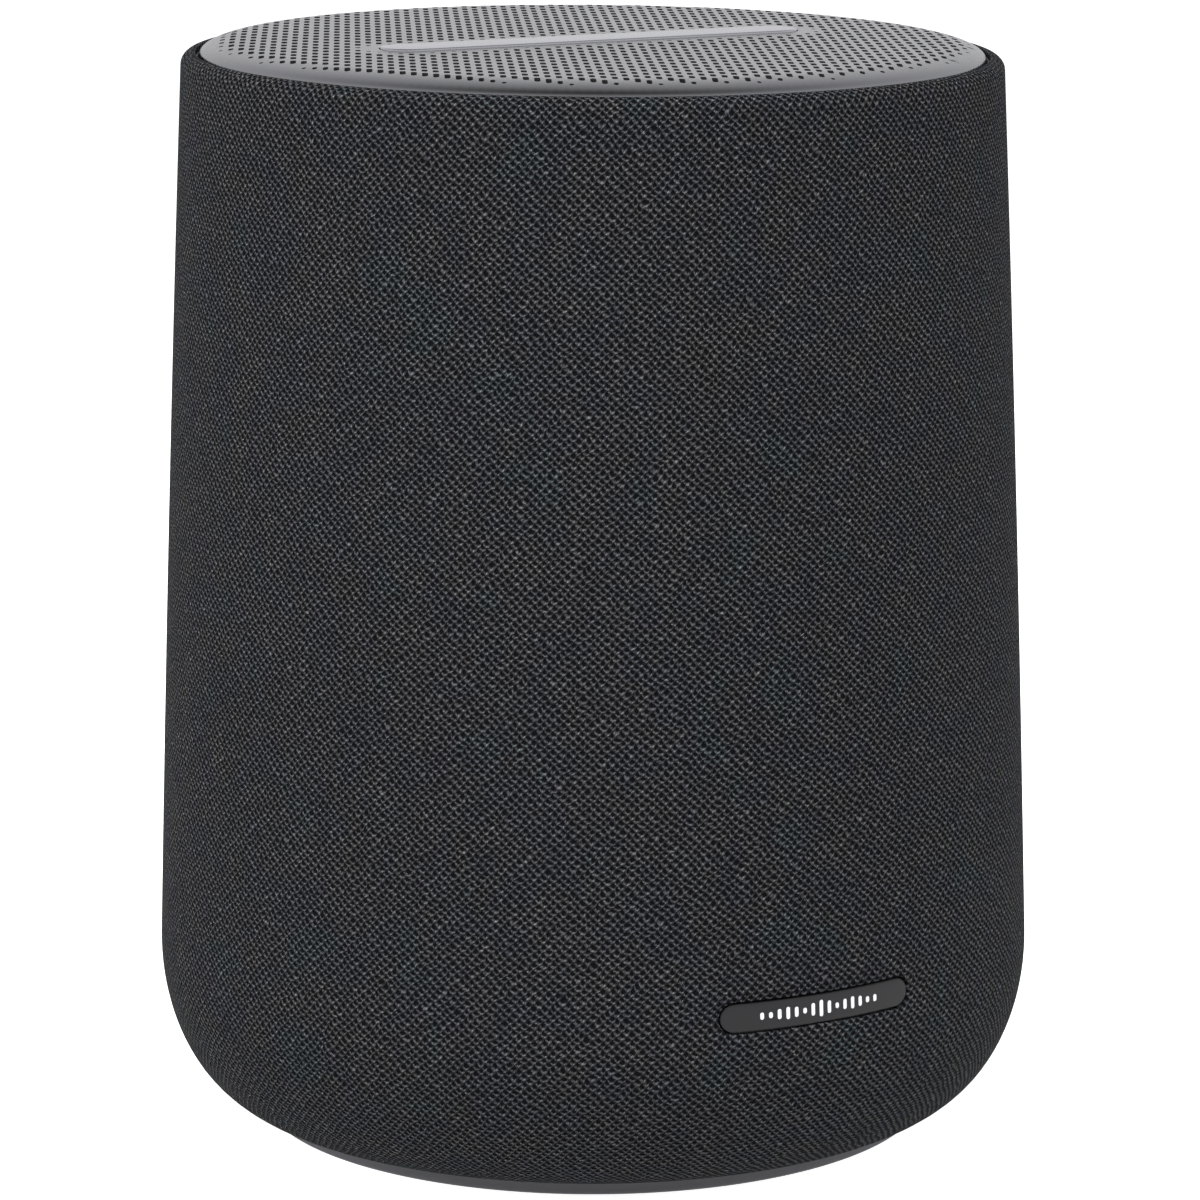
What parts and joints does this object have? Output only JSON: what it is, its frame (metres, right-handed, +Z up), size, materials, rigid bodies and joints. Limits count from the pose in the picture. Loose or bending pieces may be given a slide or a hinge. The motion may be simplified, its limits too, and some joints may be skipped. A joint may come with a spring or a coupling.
{
  "type": "smart speaker hub",
  "caption": "Tapered tabletop speaker hub wrapped in dark knit, with a perforated metal top, a raised touch strip, a front badge and a rear control plate.",
  "frame": {"origin": "centre of the foot ring's underside, on the table", "axes": "+Z up along the tower, -Y towards the front badge, +X to the right seen from the front"},
  "size_m": [0.1516, 0.1516, 0.1869],
  "materials": {
    "knitted_fabric": "charcoal melange knit",
    "satin_metal_top": "satin, fine perforation",
    "grey_rubber": "matte",
    "dark_satin_plastic": "satin",
    "badge_inlay": "satin print",
    "black_plastic": "fine texture",
    "black_mesh": "acoustic cloth",
    "black_foam": "closed-cell foam",
    "diffuser": "milky",
    "zinc_steel": "zinc plated",
    "ferrite": "sintered",
    "cone_paper": "pressed pulp",
    "copper_winding": "enamelled wire",
    "circuit_board": "solder mask",
    "component_black": "moulded",
    "component_metal": "plain",
    "led_white": "clear lens",
    "ribbon": "flat flexible"
  },
  "bodies": {
    "housing": {"amplifier_heat_sink": "component_metal", "antenna_boards": "circuit_board", "badge_bars": "badge_inlay", "badge_plate": "dark_satin_plastic", "base_pan": "black_plastic", "base_screws": "zinc_steel", "control_board": "circuit_board", "dust_mesh": "black_mesh", "enclosure_front": "black_plastic", "enclosure_gasket": "black_foam", "enclosure_rear": "black_plastic", "enclosure_screws": "zinc_steel", "fabric_sleeve": "knitted_fabric", "foot_ring": "grey_rubber", "grille_shell": "black_plastic", "light_guide": "diffuser", "main_board": "circuit_board", "main_board_screws": "zinc_steel", "mains_inlet_housing": "black_plastic", "mains_inlet_pins": "component_metal", "microphone_board": "circuit_board", "microphones": "component_metal", "port_tube": "black_plastic", "power_board": "circuit_board", "power_board_screws": "zinc_steel", "power_capacitors": "component_black", "power_heat_sink": "component_metal", "power_transformer": "component_black", "rear_control_plate": "dark_satin_plastic", "ribbon_cable": "ribbon", "shield_can": "zinc_steel", "standoff_posts": "black_plastic", "status_leds": "led_white", "tact_switches": "component_black", "top_chassis": "black_plastic", "top_chassis_screws": "zinc_steel", "top_grille_plate": "satin_metal_top", "top_trim_ring": "black_plastic", "touch_board": "circuit_board", "touch_strip": "satin_metal_top", "tweeter_cup": "zinc_steel", "tweeter_faceplate": "black_plastic", "tweeter_magnet": "ferrite", "woofer_basket": "zinc_steel", "woofer_gasket": "black_foam", "woofer_magnet": "ferrite", "woofer_screws": "zinc_steel", "woofer_top_plate": "zinc_steel", "woofer_yoke": "zinc_steel"},
    "woofer_piston": {"woofer_cone": "cone_paper", "woofer_dust_cap": "cone_paper", "woofer_voice_coil": "copper_winding", "woofer_surround": "grey_rubber", "woofer_spider": "black_mesh"},
    "tweeter_piston": {"tweeter_dome": "black_mesh", "tweeter_voice_coil": "copper_winding"},
    "microphone_key": {"microphone_button": "dark_satin_plastic"},
    "pairing_key": {"pairing_button": "dark_satin_plastic"}
  },
  "joints": [
    {"name": "woofer_stroke", "type": "slide", "parent": "housing", "child": "woofer_piston", "axis": [0, -1, 0], "range_m": [-0.004, 0.004], "stiffness_N_per_m": 1250, "deforming": ["woofer_surround", "woofer_spider"]},
    {"name": "tweeter_stroke", "type": "slide", "parent": "housing", "child": "tweeter_piston", "axis": [0, -1, 0], "range_m": [-0.0003, 0.0003], "stiffness_N_per_m": 8000},
    {"name": "microphone_press", "type": "slide", "parent": "housing", "child": "microphone_key", "axis": [0, -1, 0], "range_m": [0, 0.0006], "stiffness_N_per_m": 2500},
    {"name": "pairing_press", "type": "slide", "parent": "housing", "child": "pairing_key", "axis": [0, -1, 0], "range_m": [0, 0.0006], "stiffness_N_per_m": 2500}
  ]
}
